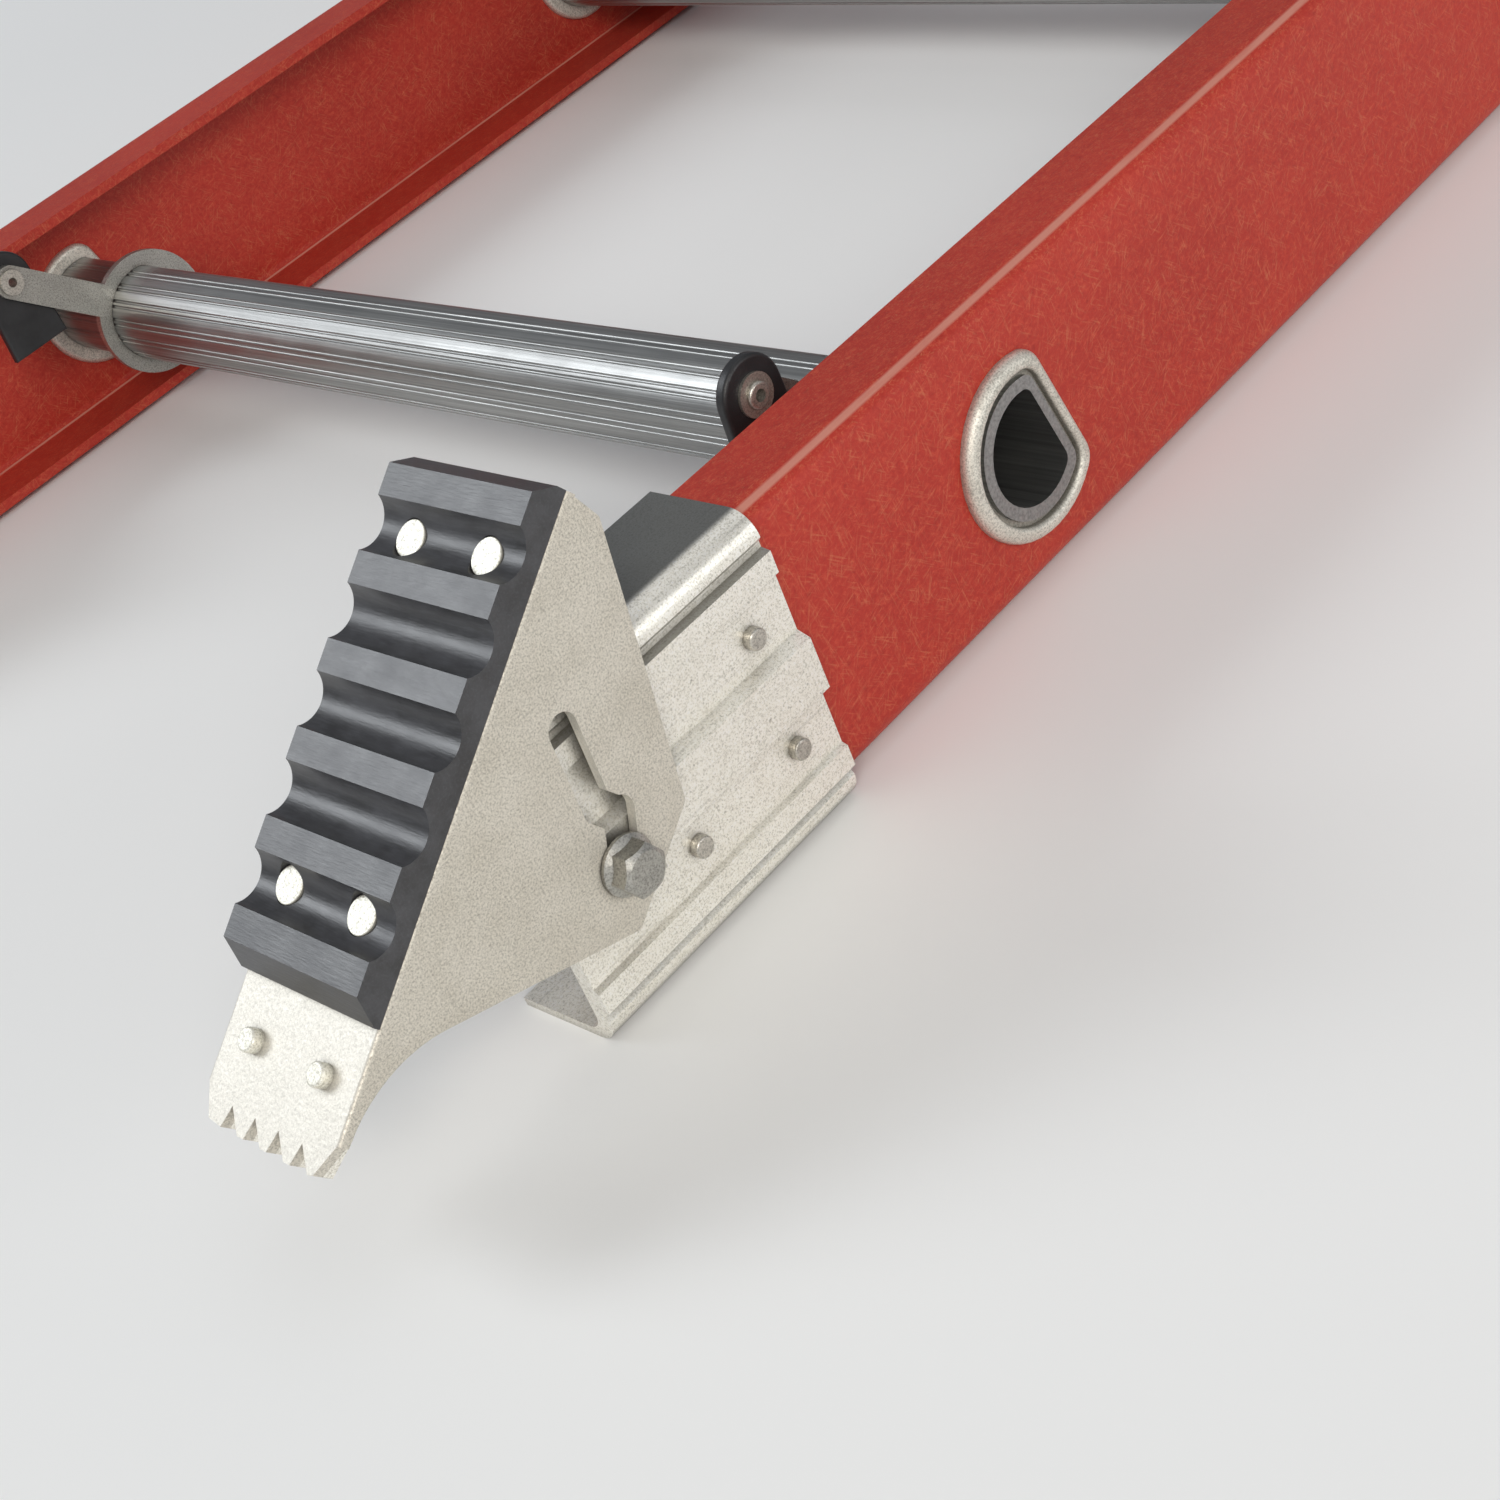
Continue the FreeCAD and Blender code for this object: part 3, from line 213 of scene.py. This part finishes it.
def painted_corner_highlight(p):
    """A painted highlight on the rounded corner between the web and the front flange, found by how far the
    surface faces forward.
    """
    forward = p.normal_axis("Z")
    band = p.maths("MULTIPLY", p.grey(forward, (0.76, 0.82)), p.grey(forward, (0.92, 0.96), (1.0, 0.0)))
    uneven = p.noise(300.0, detail=3.0, rough=0.6, stretch=(0.1, 1, 1))
    return p.maths("MULTIPLY", band, p.grey(uneven, (0.2, 0.5), (0.45, 0.9)))


def fibreglass():
    """Pultruded fibreglass: orange-red resin with fine blotches, pale fibres and a painted highlight along
    the rounded corner.
    """
    p = Paint("fibreglass")
    broad = p.noise(14.0, detail=4.0, rough=0.6, stretch=(0.6, 1, 1))
    body = p.ramp(broad, 0.3, RESIN_DARK, 0.7, RESIN_LIGHT)
    blotch = p.noise(650.0, detail=4.0, rough=0.72, stretch=(0.7, 1, 1), distort=0.6)
    body = p.mix(p.grey(blotch, (0.50, 0.72), (0.0, 0.7)), body, BLOTCH_LIGHT)
    body = p.mix(p.grey(blotch, (0.30, 0.45), (0.5, 0.0)), body, BLOTCH_DARK)
    for turn in FIBRE_TURNS:
        body = p.mix(hairs(p, turn), body, FIBRE_COLOUR)
    # Painted highlight: a paler band along the rounded corner.
    body = p.mix(painted_corner_highlight(p), body, PAINTED_HIGHLIGHT_RESIN)
    normal = p.bump(blotch, distance=0.0003, strength=0.25)
    p.set(Specular_IOR_Level=0.3)
    return p.finish(body, p.grey(blotch, (0.3, 0.8), (0.44, 0.58)), normal)


# ---- metals ----
PIT_BROWN = (0.17, 0.145, 0.11)
# Painted shade in corners and between parts.
PAINTED_CORNER_SHADE = (0.09, 0.078, 0.06)
# Painted shade for the bracket's upper faces that look forward.
PAINTED_SHADE_FRONT = (0.085, 0.09, 0.09)
# Painted light for the faces that do not look sideways.
PAINTED_LIGHT_COLOUR = (0.97, 0.94, 0.86)
GRAIN = 1700.0
FINE_GRAIN = 1500.0
CAST_GRAIN = 900.0
EVEN = (1, 1, 1)
ALONG_RAIL = (0.04, 1, 1)
ALONG_RUNG = (1, 0.008, 1)
# The bracket's front face lies above this span of heights, in m.
FRONT_HEIGHTS = (0.06, 0.07)


def shade(colour, factor):
    return tuple(min(1.0, factor * part) for part in colour)


def worn_metal(
    name,
    dark,
    light,
    roughness,
    grain=GRAIN,
    brush=EVEN,
    metallic=0.6,
    pits=0.3,
    front=0.0,
    painted_light=0.0,
    reach=0.003,
):
    """A worn bare metal: mottling, fine grain, brown pits, rolling marks and painted shade in the corners.

    front darkens the faces that look forward as painted shade, rubbed paints light onto all but the ones that
    look sideways, and reach is how far out of a corner the painted shade comes.
    """
    p = Paint(name)
    mottle = p.noise(70.0, detail=6.0, rough=0.7)
    body = p.ramp(mottle, 0.32, dark, 0.62, light)
    speckle = p.noise(grain, detail=4.0, rough=0.75)
    body = p.mix(p.grey(speckle, (0.50, 0.62), (0.0, 0.75)), body, shade(dark, 0.55))
    body = p.mix(p.grey(speckle, (0.36, 0.50), (0.6, 0.0)), body, shade(light, 1.18))
    spots = p.noise(0.45 * grain, detail=2.0, rough=0.5)
    body = p.mix(p.grey(spots, (0.66, 0.74), (0.0, pits)), body, PIT_BROWN)
    marks = p.noise(700.0, detail=2.0, rough=0.5, stretch=brush)
    body = p.mix(p.grey(marks, (0.62, 0.76), (0.0, pits)), body, shade(dark, 0.5))
    # Painted shade: the faces above FRONT_HEIGHTS that look forward are darkened, a painted dark reflection.
    if front:
        upper = p.grey(p.axis("Z"), FRONT_HEIGHTS)
        front_shade_mask = p.grey(p.normal_axis("Z"), (0.95, 0.995), (0.0, front))
        body = p.mix(p.maths("MULTIPLY", front_shade_mask, upper), body, PAINTED_SHADE_FRONT)
    # Painted light: every face that does not look sideways is lightened.
    if painted_light:
        across = p.maths("ABSOLUTE", p.normal_axis("Y"))
        body = p.mix(p.grey(across, (0.3, 0.7), (painted_light, 0.0)), body, PAINTED_LIGHT_COLOUR)
    # Painted shade: darker where nearby parts shut the surface in.
    body = p.mix(p.corners(reach), body, PAINTED_CORNER_SHADE)
    normal = p.bump(marks, distance=0.0003, strength=0.3)
    normal = p.bump(speckle, distance=0.0002, strength=0.3, after=normal)
    p.set(Metallic=metallic)
    return p.finish(body, p.grey(speckle, (0.3, 0.7), (roughness - 0.06, roughness + 0.1)), normal)


WORN_METALS = {
    "collar_aluminium": {
        "dark": (0.60, 0.58, 0.51),
        "light": (0.78, 0.75, 0.67),
        "roughness": 0.5,
    },
    "bracket_aluminium": {
        "dark": (0.90, 0.86, 0.76),
        "light": (0.97, 0.94, 0.85),
        "roughness": 0.33,
        "brush": ALONG_RAIL,
        "pits": 0.4,
        # how dark the painted shade on the forward-looking faces is
        "front": 0.85,
        "reach": 0.007,
    },
    "guide_aluminium": {
        "dark": (0.56, 0.55, 0.53),
        "light": (0.74, 0.73, 0.71),
        "roughness": 0.4,
        "grain": FINE_GRAIN,
        "brush": ALONG_RAIL,
    },
    "galvanised_steel": {
        "dark": (0.58, 0.54, 0.46),
        "light": (0.67, 0.63, 0.55),
        "roughness": 0.45,
        "metallic": 0.45,
        # how strong the painted light on the faces that do not look sideways is
        "painted_light": 0.5,
    },
    "spur_steel": {
        "dark": (0.78, 0.74, 0.64),
        "light": (0.94, 0.91, 0.82),
        "roughness": 0.42,
        "metallic": 0.4,
    },
    "zinc_steel": {
        "dark": (0.36, 0.35, 0.32),
        "light": (0.50, 0.49, 0.45),
        "roughness": 0.34,
        "metallic": 0.85,
    },
    "spring_steel": {
        "dark": (0.2, 0.2, 0.2),
        "light": (0.34, 0.34, 0.34),
        "roughness": 0.35,
        "metallic": 0.85,
    },
    "bright_rivet": {
        "dark": (0.84, 0.81, 0.70),
        "light": (0.94, 0.92, 0.81),
        "roughness": 0.4,
        "metallic": 0.35,
        "pits": 0.1,
    },
    "lock_casting": {
        "dark": (0.50, 0.50, 0.48),
        "light": (0.68, 0.68, 0.66),
        "roughness": 0.5,
        "grain": CAST_GRAIN,
    },
    "rivet_steel": {
        "dark": (0.46, 0.43, 0.38),
        "light": (0.62, 0.59, 0.53),
        "roughness": 0.36,
        "metallic": 0.8,
    },
}


def drawn_metal(name, dark, light, roughness):
    """Bright extruded metal with streaks along the rung."""
    p = Paint(name)
    streak = p.noise(900.0, detail=3.0, rough=0.6, stretch=ALONG_RUNG)
    colour = p.ramp(streak, 0.3, dark, 0.7, light)
    cloud = p.noise(40.0, detail=4.0, rough=0.6)
    normal = p.bump(streak, distance=0.0002, strength=0.35)
    p.set(Metallic=0.95)
    return p.finish(colour, p.grey(cloud, (0.3, 0.7), (roughness - 0.04, roughness + 0.06)), normal)


# ---- rubber and plastic ----
RUBBER_DARK = (0.012, 0.011, 0.012)
RUBBER_DUSTY = (0.040, 0.040, 0.045)
MOULD_LINE = (0.075, 0.078, 0.088)


def rubber():
    """Moulded black rubber with a dusty bloom and faint mould lines across the tread."""
    p = Paint("tread_rubber")
    dust = p.noise(110.0, detail=6.0, rough=0.72, stretch=(1, 0.6, 1))
    body = p.ramp(dust, 0.38, RUBBER_DARK, 0.66, RUBBER_DUSTY)
    lines = p.noise(1500.0, detail=3.0, rough=0.6, stretch=(1, 0.12, 1))
    body = p.mix(p.grey(lines, (0.50, 0.72), (0.0, 0.35)), body, MOULD_LINE)
    normal = p.bump(lines, distance=0.0002, strength=0.3)
    p.set(Specular_IOR_Level=0.9)
    return p.finish(body, p.grey(dust, (0.3, 0.7), (0.34, 0.46)), normal)


def plastic(name, dark, light, roughness):
    """Moulded plastic with a fine spark-eroded grain."""
    p = Paint(name)
    wear = p.noise(90.0, detail=5.0, rough=0.6)
    colour = p.ramp(wear, 0.35, dark, 0.75, light)
    grain = p.noise(1800.0, detail=2.0, rough=0.5)
    normal = p.bump(grain, distance=0.0002, strength=0.3)
    return p.finish(colour, p.grey(wear, (0.3, 0.7), (roughness + 0.06, roughness - 0.05)), normal)


# ---- which node gets which material ----
# The rivets through the bracket are duller than the ones through the tread.
REPAINTED = {"foot_bracket_rivets": "rivet_steel", "fly_stop_rivets": "rivet_steel"}


def make_materials():
    """Every node gets the paint of its material slot in the record."""
    paints = {name: worn_metal(name, **looks) for name, looks in WORN_METALS.items()}
    paints["fibreglass"] = fibreglass()
    paints["rung_aluminium"] = drawn_metal("rung_aluminium", (0.24, 0.24, 0.235), (0.42, 0.42, 0.41), 0.38)
    paints["black_plastic"] = plastic("black_plastic", (0.010, 0.010, 0.011), (0.024, 0.024, 0.026), 0.45)
    paints["wheel_nylon"] = plastic("wheel_nylon", (0.02, 0.02, 0.022), (0.045, 0.045, 0.048), 0.42)
    paints["tread_rubber"] = rubber()
    for part in frame["record"]["subparts"]:
        node = frame["nodes"][part["node"]]
        node.data.materials.clear()
        node.data.materials.append(paints[REPAINTED.get(part["node"], part["material_slot"])])


# ---- floor ----
FLOOR_REACH = 40.0
FLOOR_COLOUR = (0.9, 0.9, 0.89)


def make_floor():
    mesh = bpy.data.meshes.new("floor")
    signs = ((-1, -1), (1, -1), (1, 1), (-1, 1))
    corners = [(x * FLOOR_REACH, y * FLOOR_REACH, BACK_Z) for x, y in signs]
    mesh.from_pydata(corners, [], [(0, 1, 2, 3)])
    floor = bpy.data.objects.new("floor", mesh)
    bpy.context.scene.collection.objects.link(floor)
    p = Paint("floor")
    p.set(Base_Color=FLOOR_COLOUR, Roughness=1.0, Specular_IOR_Level=0.1)
    mesh.materials.append(p.material)


# ---- light: sizes in m, powers in W ----
FOOT_POINT = (150, 60, 60)
MIDDLE = Vector((0.3, 0, 0))
UP_THE_RAIL = Vector((0.8, 0, 0))
WHITE = (1, 1, 1)
WARM = (1.0, 0.96, 0.90)
COOL = (0.92, 0.96, 1.0)
WORLD_COLOUR = (0.80, 0.84, 0.90, 1.0)
WORLD_STRENGTH = 0.30


def area_light(name, spot, aim, size, power, colour=WHITE):
    data = bpy.data.lights.new(name, "AREA")
    data.shape = "RECTANGLE"
    data.size, data.size_y = size
    data.energy = power
    data.color = colour
    lamp = bpy.data.objects.new(name, data)
    bpy.context.scene.collection.objects.link(lamp)
    lamp.location = spot
    lamp.rotation_mode = "QUATERNION"
    lamp.rotation_quaternion = (aim - spot).to_track_quat("-Z", "Y")


def make_lights():
    """A warm key on the camera's left, a cool light behind the foot for the tread's sheen, and two fills."""
    foot = from_foot(*FOOT_POINT)
    area_light("key", foot + Vector((-2.2, -3.0, 2.4)), foot, size=(2.2, 1.6), power=102, colour=WARM)
    area_light("side", foot + Vector((-1.9, 3.3, 2.9)), foot, size=(1.8, 2.2), power=84, colour=COOL)
    area_light("low", foot + Vector((1.4, -4.2, 1.1)), foot + UP_THE_RAIL, size=(2.6, 1.2), power=38)
    area_light("top", Vector((0.6, -0.6, 4.0)), MIDDLE, size=(4, 3), power=16)
    world = bpy.data.worlds.new("studio")
    world.use_nodes = True
    sky = world.node_tree.nodes["Background"].inputs
    sky["Color"].default_value = WORLD_COLOUR
    sky["Strength"].default_value = WORLD_STRENGTH
    bpy.context.scene.world = world
    bpy.context.scene.view_settings.view_transform = "Standard"


make_camera()
make_materials()
make_floor()
make_lights()
